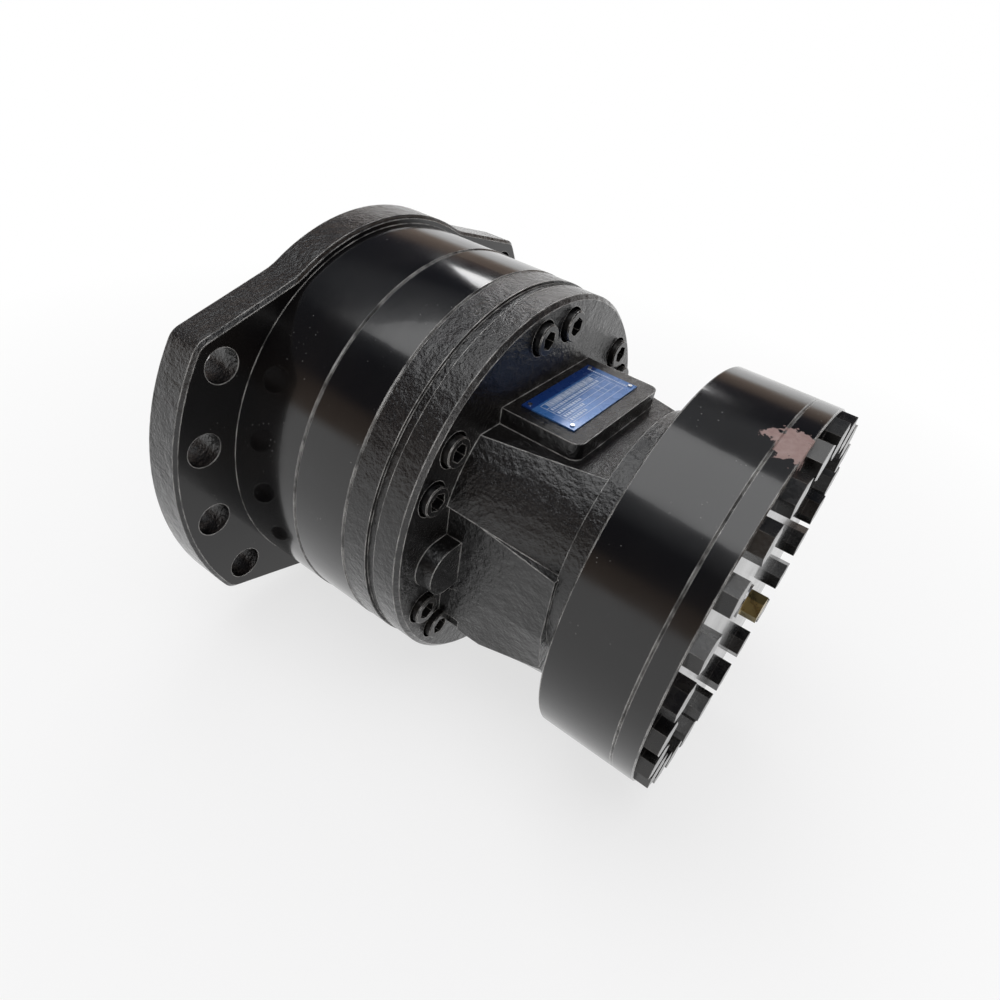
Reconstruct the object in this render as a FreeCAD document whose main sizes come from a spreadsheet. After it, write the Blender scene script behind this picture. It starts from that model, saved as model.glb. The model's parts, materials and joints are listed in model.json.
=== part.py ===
import FreeCAD, Part
import math
import os
import re
import Sketcher

# Radial piston track drive motor with a spring applied disc brake.
# Frame: X is the shaft axis and points from the wheel hub to the brake, Y points along the flange
# lobes, Z points up through the rating plate pad. The origin is the centre of the mounting face.
# Every length is in millimetres and every angle in degrees.

SIZES = {
    "Mounting flange": {
        "flange_thickness": 23,
        "lobe_radius": 163,
        "lobe_side_distance": 123.6,
        "lobe_side_angle": 73.4,
        "lobe_corner_radius": 12,
        "flange_waist_radius": 129,
        "waist_blend_radius": 40,
        "flange_edge_chamfer": 2,
        "flange_hole_circle_radius": 144.6,
        "flange_hole_radius": 10.5,
        "flange_hole_spacing_angle": 20,
    },
    "Case": {
        "front_case_length": 51,
        "case_radius": 123,
        "front_case_step": 1,
        "snout_length": 8,
        "snout_radius": 84,
        "cam_ring_width": 38,
        "cam_ring_step": 0.4,
        "rear_ring_length": 39,
        "rear_groove_start": 16.8,
        "rear_groove_width": 5.2,
        "rear_groove_depth": 2,
        "rear_band_step": 1,
        "rear_band_chamfer": 2.5,
        "edge_chamfer": 0.6,
        "overrun": 1,
    },
    "Rear casting": {
        "neck_start_radius": 89,
        "neck_end_radius": 78,
        "neck_length": 71,
        "collar_length": 19,
        "collar_radius": 80.5,
        "neck_top_height": 64,
        "plate_pad_height": 74,
        "plate_pad_length": 90,
        "plate_pad_width": 50,
        "plate_pad_corner": 6,
        "block_width": 164,
        "block_top": 28,
        "block_top_fall": 10,
        "block_ridge": 29,
        "block_ridge_rise": 4,
        "block_corner": 62,
        "block_corner_rise": 5,
        "block_corner_lean": 1,
        "block_bottom": 86,
        "block_bottom_width": 116,
        "block_straight_length": 32,
        "block_taper": 6,
        "block_root": 2,
        "lug_angle": 95,
        "lug_circle_radius": 92,
        "lug_radius": 15,
        "lug_height": 11,
        "port_radius": 12.3,
        "port_depth": 18,
        "port_spacing": 34,
        "port_height": -14.5,
        "port_boss_radius": 16.5,
        "port_boss_height": 7,
    },
    "Housing screws": {
        "screw_edge_distance": 17.2,
        "screw_pair_angle": 15.2,
        "screw_pair_count": 6,
        "screw_radius": 6,
        "screw_head_radius": 9,
        "screw_head_height": 12,
        "screw_thread_depth": 22,
        "screw_seat_radius": 10.5,
        "screw_clearance": 0.5,
        "socket_width_share": 0.56,
        "socket_depth_share": 0.5,
        "screw_seat_depth": 8,
    },
    "Brake": {
        "drum_length": 44.5,
        "drum_radius": 115,
        "drum_floor": 14,
        "brake_bore_radius": 94,
        "cover_thickness": 13,
        "cover_recess_radius": 84,
        "cover_recess_depth": 5,
        "bolt_circle_radius": 103.5,
        "bolt_count": 24,
        "bolt_phase": 5.5,
        "bolt_radius": 6,
        "bolt_across_flats": 18,
        "bolt_head_height": 7.5,
        "bolt_length": 35,
        "plug_across_flats": 14,
        "plug_head_height": 9.5,
        "plug_thread_radius": 6,
        "plug_thread_length": 10,
        "plug_washer_radius": 10.5,
        "plug_washer_thickness": 2,
        "brake_screw_circle_radius": 56,
        "brake_screw_count": 8,
        "brake_screw_radius": 5,
        "brake_screw_head_radius": 8,
        "brake_screw_head_height": 10,
        "brake_screw_length": 22,
        "disc_thickness": 2,
        "disc_gap": 0.3,
        "friction_disc_count": 4,
        "friction_disc_radius": 86,
        "separator_bore_radius": 46,
        "brake_spline_radius": 38,
        "brake_piston_rim": 7,
        "brake_piston_boss": 2,
        "brake_piston_boss_radius": 80,
        "brake_piston_bore_radius": 20,
        "brake_spring_inner_radius": 42,
        "brake_spring_outer_radius": 76,
        "brake_spring_thickness": 2.2,
    },
    "Shaft and bearings": {
        "hub_face": 56,
        "hub_thickness": 20,
        "hub_radius": 88,
        "hub_pilot_radius": 50,
        "hub_pilot_height": 6,
        "hub_bolt_circle_radius": 70,
        "hub_bolt_count": 8,
        "hub_bolt_radius": 7,
        "seal_land_radius": 56,
        "seal_radius": 68,
        "seal_width": 12,
        "seal_gap": 2,
        "bearing_end_gap": 2,
        "front_bearing_width": 30,
        "front_bearing_bore_radius": 46,
        "front_bearing_radius": 76,
        "front_roller_count": 16,
        "bearing_spacing": 6,
        "bearing_shoulder": 5,
        "rear_bearing_width": 22,
        "rear_bearing_bore_radius": 38,
        "rear_bearing_radius": 62,
        "rear_roller_count": 16,
        "bearing_taper_angle": 13,
        "roller_end_margin": 4,
        "cage_gap": 0.6,
        "cage_thickness": 1.6,
        "cage_height": 6,
        "nut_radius": 44,
        "nut_thickness": 7,
        "shaft_bore_gap": 4,
        "block_end_step": 2,
        "block_spline_radius": 30,
        "brake_shaft_radius": 15,
        "brake_shaft_stub": 6,
        "circlip_thickness": 2,
        "circlip_height": 3,
        "running_clearance": 0.05,
    },
    "Cylinder block and pistons": {
        "cylinder_count": 8,
        "block_radius": 87,
        "block_thickness": 36,
        "block_nut_recess_radius": 45.5,
        "piston_radius": 15.5,
        "piston_length": 36,
        "piston_skirt": 2.5,
        "roller_radius": 10,
        "roller_length": 22,
        "roller_end_gap": 0.3,
        "cam_lobe_count": 6,
        "cam_mean_radius": 98,
        "cam_lift": 6,
        "cam_phase": 45,
        "roller_rest_gap": 1.7,
        "cylinder_floor": 46,
    },
    "Distributor": {
        "distributor_radius": 60,
        "distributor_step": 5,
        "distributor_step_length": 20,
        "distributor_bore_radius": 20,
        "distributor_face_gap": 0.3,
        "distributor_spring_space": 4,
        "distributor_bore_step": 2,
        "distributor_spring_width": 6,
        "seal_section": 3,
        "case_seal_margin": 0.7,
    },
    "Speed selector": {
        "spool_radius": 8,
        "spool_land_length": 14,
        "spool_stem_radius": 5,
        "spool_length": 88,
        "spool_depth": 58,
        "spool_place": 66,
        "spool_bore_length": 116,
        "spool_plug_radius": 13,
        "spool_plug_head": 5,
        "spool_plug_depth": 12,
        "spool_plug_sink": 6,
        "spool_plug_gap": 1,
        "spool_plug_collar": 3,
        "spool_spring_radius": 5,
        "spool_spring_wire": 0.9,
        "spool_spring_turns": 4,
    },
    "Rating plate": {
        "plate_length": 70,
        "plate_width": 34,
        "plate_thickness": 0.8,
        "plate_offset": 2,
        "rivet_radius": 1.3,
        "rivet_height": 0.7,
        "rivet_inset": 3.2,
    },
}

doc = FreeCAD.newDocument("track_drive_motor")
sheet = doc.addObject("Spreadsheet::Sheet", "Sizes")
NAMES = set()
row = 1
for section, sizes in SIZES.items():
    sheet.set("A%d" % row, section)
    row += 1
    for alias, size in sizes.items():
        sheet.set("A%d" % row, alias)
        sheet.set("B%d" % row, "%g" % size)
        sheet.setAlias("B%d" % row, alias)
        NAMES.add(alias)
        row += 1
doc.recompute()

subparts = []


# ---------------------------------------------------------------- helpers


def bound(text):
    """Write the sheet's name before each alias, as an expression needs it."""
    def full(match):
        word = match.group(0)
        return "Sizes." + word if word in NAMES else word
    return re.sub(r"[A-Za-z_]\w*", full, text)


def number(text):
    return float(sheet.evalExpression(bound(text)))


def new_body(label):
    body = doc.addObject("PartDesign::Body", label)
    body.Label = label
    body.AllowCompound = True
    subparts.append(body)
    return body


def origin_feature(body, role):
    for feature in body.Origin.OriginFeatures:
        if feature.Role == role:
            return feature
    raise ValueError("no " + role)


def new_sketch(body, name, role="XY_Plane", **shift):
    """A sketch on one of the body's own planes, shifted by expressions x, y or z."""
    sketch = body.newObject("Sketcher::SketchObject", name)
    sketch.AttachmentSupport = [(origin_feature(body, role), "")]
    sketch.MapMode = "FlatFace"
    for direction, text in shift.items():
        sketch.setExpression("AttachmentOffset.Base." + direction, bound(text))
    return sketch


def pin_point(sketch, geometry, point, across, up):
    """Hold one point at a place given by two expressions."""
    for kind, text in (("DistanceX", across), ("DistanceY", up)):
        rule = Sketcher.Constraint(kind, -1, 1, geometry, point, number(text))
        index = sketch.addConstraint(rule)
        sketch.setExpression("Constraints[%d]" % index, bound(text))


def outline(sketch, corners):
    """A closed outline of straight sides through corners given as expressions."""
    places = [FreeCAD.Vector(number(across), number(up), 0) for across, up in corners]
    first = sketch.GeometryCount
    count = len(places)
    for i in range(count):
        sketch.addGeometry(Part.LineSegment(places[i], places[(i + 1) % count]), False)
    for i in range(count):
        after = first + (i + 1) % count
        sketch.addConstraint(Sketcher.Constraint("Coincident", first + i, 2, after, 1))
    for i, (across, up) in enumerate(corners):
        pin_point(sketch, first + i, 1, across, up)


def circle(sketch, across, up, radius):
    centre = FreeCAD.Vector(number(across), number(up), 0)
    index = sketch.addGeometry(Part.Circle(centre, FreeCAD.Vector(0, 0, 1), number(radius)), False)
    rule = sketch.addConstraint(Sketcher.Constraint("Radius", index, number(radius)))
    sketch.setExpression("Constraints[%d]" % rule, bound(radius))
    pin_point(sketch, index, 3, across, up)


def hexagon(sketch, across, up, across_flats):
    corners = []
    for i in range(6):
        reach = "%s / (2 * cos(30))" % across_flats
        corners.append(("%s + %s * cos(%d)" % (across, reach, 60 * i),
                        "%s + %s * sin(%d)" % (up, reach, 60 * i)))
    outline(sketch, corners)


def polar(radius, angle):
    """Across and up, on the YZ plane, of a place at an angle from +Y towards +Z."""
    return "%s * cos(%s)" % (radius, angle), "%s * sin(%s)" % (radius, angle)


def turn(body, name, corners, cut=False, **shift):
    """Turn an outline of (along, radius) corners about the sketch's own long axis."""
    sketch = new_sketch(body, name + "_outline", "XY_Plane", **shift)
    outline(sketch, corners)
    kind = "PartDesign::Groove" if cut else "PartDesign::Revolution"
    feature = body.newObject(kind, name)
    feature.Profile = sketch
    feature.ReferenceAxis = (sketch, ["H_Axis"])
    feature.Angle = 360
    doc.recompute()
    return feature


def extrude(body, name, draw, start, length, role="YZ_Plane", cut=False, backward=False):
    """Pad or pocket what draw puts on a plane at start, over a length."""
    sketch = new_sketch(body, name + "_outline", role, z=start)
    draw(sketch)
    before = body.Shape.Volume if cut else 0.0
    feature = body.newObject("PartDesign::Pocket" if cut else "PartDesign::Pad", name)
    feature.Profile = sketch
    feature.setExpression("Length", bound(length))
    # A pad grows along the plane's normal and a pocket cuts against it, unless reversed.
    feature.Reversed = backward != cut
    doc.recompute()
    if cut and not body.Shape.Volume < before - 1e-3:
        raise ValueError(name + " cuts nothing")
    return feature


def around(body, name, features, count, angle="360", axis="X_Axis"):
    """Repeat features about one of the body's own axes."""
    pattern = body.newObject("PartDesign::PolarPattern", name)
    pattern.Originals = features
    pattern.Axis = (origin_feature(body, axis), [""])
    pattern.setExpression("Angle", bound(angle))
    pattern.setExpression("Occurrences", bound(count))
    body.Tip = pattern
    doc.recompute()
    return pattern


def turned(label, corners):
    body = new_body(label)
    turn(body, label + "_turn", corners)
    return body


def ring(label, start, width, inner, outer):
    return turned(label, ring_corners(start, width, inner, outer))


def ring_corners(start, width, inner, outer):
    end = "%s + %s" % (start, width)
    return [(start, inner), (end, inner), (end, outer), (start, outer)]


def edges_along(shape, direction, test):
    """Names of the straight edges along a direction whose middle passes a test."""
    names = []
    for i, edge in enumerate(shape.Edges, 1):
        if edge.Curve.TypeId != "Part::GeomLine":
            continue
        if abs(abs(edge.Curve.Direction.dot(direction)) - 1) > 1e-6:
            continue
        if test(edge.CenterOfMass):
            names.append("Edge%d" % i)
    return names


def rim_edges(shape, place):
    """Names of the edges that lie on one plane across the shaft."""
    names = []
    for i, edge in enumerate(shape.Edges, 1):
        box = edge.BoundBox
        if abs(box.XMin - place) < 0.01 and abs(box.XMax - place) < 0.01:
            names.append("Edge%d" % i)
    return names


def fillet(body, name, names, radius):
    base = body.Tip
    feature = body.newObject("PartDesign::Fillet", name)
    feature.Base = (base, names)
    feature.setExpression("Radius", bound(radius))
    doc.recompute()
    return feature


def bevel(body, name, names, size):
    base = body.Tip
    feature = body.newObject("PartDesign::Chamfer", name)
    feature.Base = (base, names)
    feature.setExpression("Size", bound(size))
    doc.recompute()
    return feature


def turn_about_shaft(body, angle):
    body.Placement = FreeCAD.Placement(FreeCAD.Vector(), FreeCAD.Rotation(FreeCAD.Vector(1, 0, 0), 1))
    body.setExpression("Placement.Rotation.Angle", "(%s) * 1 deg" % bound(angle))


# Places along the shaft, from the mounting face.
CAM_START = "front_case_length"
CAM_MIDDLE = "(front_case_length + cam_ring_width / 2)"
REAR_START = "(front_case_length + cam_ring_width)"
RING_END = "(front_case_length + cam_ring_width + rear_ring_length)"
NECK_END = "(front_case_length + cam_ring_width + rear_ring_length + neck_length)"
DRUM_START = "(%s + collar_length)" % NECK_END
PACK_START = "(%s + drum_floor + disc_gap)" % DRUM_START
DRUM_END = "(%s + drum_length)" % DRUM_START
COVER_END = "(%s + cover_thickness)" % DRUM_END
SCREW_SEAT = "(%s - screw_seat_depth)" % RING_END
SCREW_CIRCLE = "(case_radius - screw_edge_distance)"
FRONT_RADIUS = "case_radius + front_case_step"
CASE_SEAL = "(%s + screw_radius + screw_clearance + case_seal_margin)" % SCREW_CIRCLE
REAR_BEARING_END = "(front_case_length - bearing_end_gap)"
REAR_BEARING = "(%s - rear_bearing_width)" % REAR_BEARING_END
FRONT_END = "(%s - bearing_spacing)" % REAR_BEARING
FRONT_START = "(%s - front_bearing_width)" % FRONT_END
PORT_FACE = "block_width / 2 + port_boss_height"
SPOOL_PLACE = "(%s + spool_place)" % REAR_START
SPOOL_END = "(block_width / 2 - spool_plug_sink - spool_plug_depth + spool_plug_gap)"
X = FreeCAD.Vector(1, 0, 0)


# ---------------------------------------------------------------- case

def screw_pair(sketch, radius):
    """Two circles of a screw pair, each side of the +Z direction."""
    for side in ("-", "+"):
        across, up = polar(SCREW_CIRCLE, "(90 %s screw_pair_angle / 2)" % side)
        circle(sketch, across, up, radius)


def make_front_housing():
    body = new_body("front_housing")
    side_reach = "lobe_side_distance / cos(lobe_side_angle)"
    side_height = "lobe_side_distance / sin(lobe_side_angle)"

    def diamond(sketch):
        outline(sketch, [(side_reach, "0"), ("0", side_height),
                         ("-" + side_reach, "0"), ("0", "-" + side_height)])

    extrude(body, "lobes", diamond, "-flange_thickness", "flange_thickness")

    def outside_lobes(sketch):
        circle(sketch, "0", "0", "lobe_radius")
        circle(sketch, "0", "0", "lobe_radius * 3")

    extrude(body, "lobe_ends", outside_lobes, "-flange_thickness", "flange_thickness", cut=True)
    lobe = number("lobe_radius")
    corners = edges_along(body.Shape, X, lambda p: abs(math.hypot(p.y, p.z) - lobe) < 0.01)
    fillet(body, "lobe_corners", corners, "lobe_corner_radius")
    extrude(body, "waist", lambda s: circle(s, "0", "0", "flange_waist_radius"),
            "-flange_thickness", "flange_thickness")
    waist = number("flange_waist_radius")
    joins = edges_along(body.Shape, X, lambda p: abs(math.hypot(p.y, p.z) - waist) < 0.01)
    fillet(body, "waist_blends", joins, "waist_blend_radius")
    bevel(body, "flange_edges", rim_edges(body.Shape, 0.0), "flange_edge_chamfer")

    turn(body, "barrel", [("-overrun", "0"), ("front_case_length", "0"),
                          ("front_case_length", FRONT_RADIUS + " - edge_chamfer"),
                          ("front_case_length - edge_chamfer", FRONT_RADIUS),
                          ("-overrun", FRONT_RADIUS)])
    snout_end = "-flange_thickness - snout_length"
    turn(body, "snout", [(snout_end, "0"), ("overrun - flange_thickness", "0"),
                         ("overrun - flange_thickness", "snout_radius"), (snout_end, "snout_radius")])
    turn(body, "bearing_bores", [
        (snout_end + " - overrun", "0"), (snout_end + " - overrun", "seal_radius"),
        (FRONT_START, "seal_radius"),
        (FRONT_START, "front_bearing_radius"), (FRONT_END, "front_bearing_radius"),
        (FRONT_END, "rear_bearing_radius - bearing_shoulder"),
        (REAR_BEARING, "rear_bearing_radius - bearing_shoulder"),
        (REAR_BEARING, "rear_bearing_radius"), ("front_case_length + overrun", "rear_bearing_radius"),
        ("front_case_length + overrun", "0")], cut=True)
    turn(body, "seal_groove", ring_corners("front_case_length - seal_section", "seal_section + overrun",
                                           CASE_SEAL, CASE_SEAL + " + seal_section"), cut=True)

    def flange_holes(sketch):
        for half in (0, 180):
            for step in (-1.5, -0.5, 0.5, 1.5):
                across, up = polar("flange_hole_circle_radius",
                                   "(%d + %g * flange_hole_spacing_angle)" % (half, step))
                circle(sketch, across, up, "flange_hole_radius")

    extrude(body, "flange_holes", flange_holes, "0", "flange_thickness", cut=True, backward=True)
    threads = extrude(body, "screw_threads", lambda s: screw_pair(s, "screw_radius"),
                      "front_case_length", "screw_thread_depth", cut=True, backward=True)
    around(body, "screw_thread_ring", [threads], "screw_pair_count")
    return body


def cam_radius_at(angle):
    """The cam track's radius at an angle from +Z towards -Y."""
    wave = math.cos(math.radians(number("cam_lobe_count") * angle + number("cam_phase")))
    return number("cam_mean_radius") + number("cam_lift") * wave


def make_cam_ring():
    """The cam ring: a wavy track, drawn by its formula, and the screw holes through the ring."""
    start = number(CAM_START)
    width = number("cam_ring_width")
    outer = number("case_radius + cam_ring_step")
    chamfer = number("edge_chamfer")
    spare = number("overrun")
    blank = Part.makeCylinder(outer, width, FreeCAD.Vector(start, 0, 0), X)
    blank = blank.makeChamfer(chamfer, [e for e in blank.Edges if e.Length > outer])
    steps = int(8 * number("cam_lobe_count"))
    places = []
    for i in range(steps):
        angle = 360.0 * i / steps
        radius = cam_radius_at(angle)
        across = -radius * math.sin(math.radians(angle))
        places.append(FreeCAD.Vector(start - spare, across, radius * math.cos(math.radians(angle))))
    track = Part.BSplineCurve()
    track.interpolate(Points=places, PeriodicFlag=True)
    track_space = Part.Face(Part.Wire(track.toShape())).extrude(X * (width + 2 * spare))
    holes = []
    pairs = int(number("screw_pair_count"))
    half = number("screw_pair_angle") / 2
    for i in range(pairs):
        for side in (-half, half):
            angle = math.radians(90 + 360.0 * i / pairs + side)
            reach = number(SCREW_CIRCLE)
            centre = FreeCAD.Vector(start - spare, reach * math.cos(angle), reach * math.sin(angle))
            hole_radius = number("screw_radius + screw_clearance")
            holes.append(Part.makeCylinder(hole_radius, width + 2 * spare, centre, X))
    part = doc.addObject("Part::Feature", "cam_ring")
    part.Label = "cam_ring"
    part.Shape = blank.cut([track_space] + holes)
    part.Placement = FreeCAD.Placement()
    subparts.append(part)
    return part


def make_rear_housing():
    body = new_body("rear_housing")
    groove_start = "%s + rear_groove_start" % REAR_START
    groove_end = "%s + rear_groove_width" % groove_start
    band = "case_radius - rear_band_step"
    turn(body, "ring", [
        (REAR_START, "0"), (NECK_END, "0"), (NECK_END, "neck_end_radius"),
        (RING_END, "neck_start_radius"), (RING_END, band + " - rear_band_chamfer"),
        (RING_END + " - rear_band_chamfer", band), (groove_end, band),
        (groove_end, "case_radius - rear_groove_depth"), (groove_start, "case_radius - rear_groove_depth"),
        (groove_start, "case_radius"), (REAR_START + " + edge_chamfer", "case_radius"),
        (REAR_START, "case_radius - edge_chamfer")])

    def above_neck(sketch):
        outline(sketch, [("-neck_start_radius", "neck_top_height"),
                         ("neck_start_radius", "neck_top_height"),
                         ("neck_start_radius", "neck_start_radius"),
                         ("-neck_start_radius", "neck_start_radius")])

    extrude(body, "neck_flat", above_neck, RING_END, "neck_length", cut=True)

    def beside_neck(sketch):
        outline(sketch, [(RING_END, "-neck_start_radius"), (NECK_END, "-neck_start_radius"),
                         (NECK_END, "block_top - block_top_fall"), (RING_END, "block_top")])

    extrude(body, "near_side", beside_neck, "block_width / 2", "neck_start_radius", role="XZ_Plane",
            cut=True)
    extrude(body, "far_side", beside_neck, "-block_width / 2", "neck_start_radius", role="XZ_Plane",
            cut=True, backward=True)

    def block_section(name, start, fall, taper):
        """The block's section: fall runs along the whole neck, taper only along its last part."""
        sketch = new_sketch(body, name, "YZ_Plane", z=start)
        top = "(block_top - block_top_fall * %s)" % fall
        ridge = "(block_ridge_rise * %s - block_ridge)" % fall
        right = [("block_width / 2", top), ("block_width / 2", ridge),
                 ("(block_width / 2 - block_corner_lean - block_taper * %s)" % taper,
                  "(block_corner_rise * %s - block_corner)" % taper),
                 ("block_bottom_width / 2", "(block_taper * %s - block_bottom)" % taper)]
        left = [("-" + across, up) for across, up in reversed(right)]
        outline(sketch, right + left)
        return sketch

    block = body.newObject("PartDesign::AdditiveLoft", "port_block")
    block.Profile = block_section("block_ring_end", RING_END + " - block_root",
                                  "-block_root / neck_length", "0")
    block.Sections = [
        block_section("block_middle", RING_END + " + block_straight_length",
                      "block_straight_length / neck_length", "0"),
        block_section("block_drum_end", NECK_END, "1", "1")]
    block.Ruled = True
    doc.recompute()

    turn(body, "collar", ring_corners(NECK_END + " - overrun", "collar_length + overrun",
                                      "0", "collar_radius"))

    def plate_pad(sketch):
        outline(sketch, [(RING_END + " - block_root", "-plate_pad_length / 2"),
                         (RING_END + " + plate_pad_width", "-plate_pad_length / 2"),
                         (RING_END + " + plate_pad_width", "plate_pad_length / 2"),
                         (RING_END + " - block_root", "plate_pad_length / 2")])

    extrude(body, "plate_pad", plate_pad, "0", "plate_pad_height", role="XY_Plane")
    pad_end = number(RING_END + " + plate_pad_width")
    pad_side = number("plate_pad_length / 2")
    corners = edges_along(body.Shape, FreeCAD.Vector(0, 0, 1), lambda p: abs(p.x - pad_end) < 0.01
                          and abs(abs(p.y) - pad_side) < 0.01 and p.z > 0)
    fillet(body, "pad_corners", corners, "plate_pad_corner")

    def lug(sketch):
        across, up = polar("lug_circle_radius", "(90 + lug_angle)")
        circle(sketch, across, up, "lug_radius")

    def lug_root(sketch):
        across, up = polar("lug_circle_radius", "(90 + lug_angle)")
        inner = "(lug_radius - block_width / 2)"
        outline(sketch, [(inner, up + " - lug_radius"), (across, up + " - lug_radius"),
                         (across, up + " + lug_radius"), (inner, up + " + lug_radius")])

    for name, draw in (("lug", lug), ("lug_root", lug_root)):
        extrude(body, name, draw, RING_END + " - block_root", "lug_height + block_root")

    def ports(sketch, radius):
        # The XZ plane looks along -Y, so its third axis points to -Y.
        for side in ("-", "+"):
            place = "%s + neck_length / 2 %s port_spacing / 2" % (RING_END, side)
            circle(sketch, place, "port_height", radius)

    extrude(body, "port_bosses", lambda s: ports(s, "port_boss_radius"), "-(%s)" % PORT_FACE,
            "2 * port_depth", role="XZ_Plane")
    turn(body, "distributor_bore",
         distributor_steps("distributor_bore_radius", REAR_START + " - overrun"), cut=True)
    turn(body, "shaft_bore", ring_corners(REAR_START, "%s - %s + overrun" % (DRUM_START, REAR_START),
                                          "0", "distributor_bore_radius"), cut=True)
    turn(body, "seal_groove", ring_corners(REAR_START + " - overrun", "seal_section + overrun",
                                           CASE_SEAL, CASE_SEAL + " + seal_section"), cut=True)
    holes = extrude(body, "screw_holes", lambda s: screw_pair(s, "screw_radius + screw_clearance"),
                    REAR_START, "rear_ring_length", cut=True)
    around(body, "screw_hole_ring", [holes], "screw_pair_count")
    seats = extrude(body, "screw_seats", lambda s: screw_pair(s, "screw_seat_radius"),
                    SCREW_SEAT, "screw_head_height + lug_height", cut=True)
    around(body, "screw_seat_ring", [seats], "screw_pair_count")

    def brake_threads(sketch):
        circle(sketch, "brake_screw_circle_radius", "0", "brake_screw_radius")

    thread_depth = "brake_screw_length - drum_floor + brake_screw_head_height + disc_gap"
    threads = extrude(body, "brake_threads", brake_threads, DRUM_START, thread_depth,
                      cut=True, backward=True)
    around(body, "brake_thread_ring", [threads], "brake_screw_count")

    extrude(body, "ports", lambda s: ports(s, "port_radius"), "-(%s)" % PORT_FACE, "port_depth",
            role="XZ_Plane", cut=True)

    across_block(body, "spool_bore", "spool_radius + running_clearance", SPOOL_END, "spool_bore_length")
    across_block(body, "spool_plug_thread", "spool_plug_radius",
                 SPOOL_END + " + spool_plug_depth - spool_plug_gap", "spool_plug_depth")
    across_block(body, "spool_plug_seat", "spool_plug_radius + spool_plug_collar + screw_clearance",
                 "block_width / 2", "spool_plug_sink")
    return body


def across_block(body, name, radius, mouth, depth):
    """Bore towards -Y at the spool's place, from a mouth given by its distance along +Y."""
    extrude(body, name, lambda s: circle(s, SPOOL_PLACE, "-spool_depth", radius),
            "-(%s)" % mouth, depth, role="XZ_Plane", cut=True)


def distributor_steps(bore, start):
    first = REAR_START + " + distributor_step_length"
    second = first + " + distributor_step_length"
    third = second + " + distributor_step_length"
    return [(start, bore), (third, bore), (third, "distributor_radius - 2 * distributor_step"),
            (second, "distributor_radius - 2 * distributor_step"),
            (second, "distributor_radius - distributor_step"),
            (first, "distributor_radius - distributor_step"),
            (first, "distributor_radius"), (start, "distributor_radius")]


def make_seal_rings():
    body = new_body("case_seals")
    for start in ("front_case_length - seal_section", REAR_START):
        name = "front_seal" if start.startswith("front") else "rear_seal"
        turn(body, name, ring_corners(start, "seal_section", CASE_SEAL,
                                      CASE_SEAL + " + seal_section"))
    return body


def screw(body, name, seat, circle_radius, radius, head_radius, head_height, length):
    """A socket head screw along X at the pitch circle: its shank, head and hex socket."""
    shank = turn(body, name + "_blank", [
        ("%s - %s" % (seat, length), "0"), ("%s + %s" % (seat, head_height), "0"),
        ("%s + %s" % (seat, head_height), "%s - edge_chamfer" % head_radius),
        ("%s + %s - edge_chamfer" % (seat, head_height), head_radius),
        (seat, head_radius), (seat, radius), ("%s - %s" % (seat, length), radius)], y=circle_radius)
    socket = extrude(body, name + "_socket",
                     lambda s: hexagon(s, circle_radius, "0", "2 * %s * socket_width_share" % head_radius),
                     "%s + %s" % (seat, head_height), "%s * socket_depth_share" % head_height,
                     cut=True, backward=True)
    return [shank, socket]


def make_housing_screws():
    """Screws in pairs, one pair between each two lobes of the cam track."""
    body = new_body("housing_screws")
    features = screw(body, "screw", SCREW_SEAT, SCREW_CIRCLE, "screw_radius",
                     "screw_head_radius", "screw_head_height",
                     "(%s - front_case_length + screw_thread_depth)" % SCREW_SEAT)
    group = body.newObject("PartDesign::MultiTransform", "screw_pairs")
    pair = body.newObject("PartDesign::PolarPattern", "pair")
    ring_of_pairs = body.newObject("PartDesign::PolarPattern", "ring_of_pairs")
    repeats = ((pair, "screw_pair_angle", "2"), (ring_of_pairs, "360", "screw_pair_count"))
    for pattern, angle, count in repeats:
        pattern.Axis = (origin_feature(body, "X_Axis"), [""])
        pattern.setExpression("Angle", bound(angle))
        pattern.setExpression("Occurrences", bound(count))
    group.Originals = features
    group.Transformations = [pair, ring_of_pairs]
    body.Tip = group
    turn_about_shaft(body, "90 - screw_pair_angle / 2")
    return body


def make_cover_bolts():
    body = new_body("cover_bolts")
    shank = turn(body, "bolt_shank", [
        (COVER_END + " - bolt_length", "0"), (COVER_END + " + bolt_head_height / 2", "0"),
        (COVER_END + " + bolt_head_height / 2", "bolt_radius"),
        (COVER_END + " - bolt_length", "bolt_radius")], y="bolt_circle_radius")
    head = extrude(body, "bolt_head", lambda s: hexagon(s, "bolt_circle_radius", "0", "bolt_across_flats"),
                   COVER_END, "bolt_head_height")
    around(body, "bolt_ring", [shank, head], "bolt_count")
    turn_about_shaft(body, "bolt_phase + 90")
    return body


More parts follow.
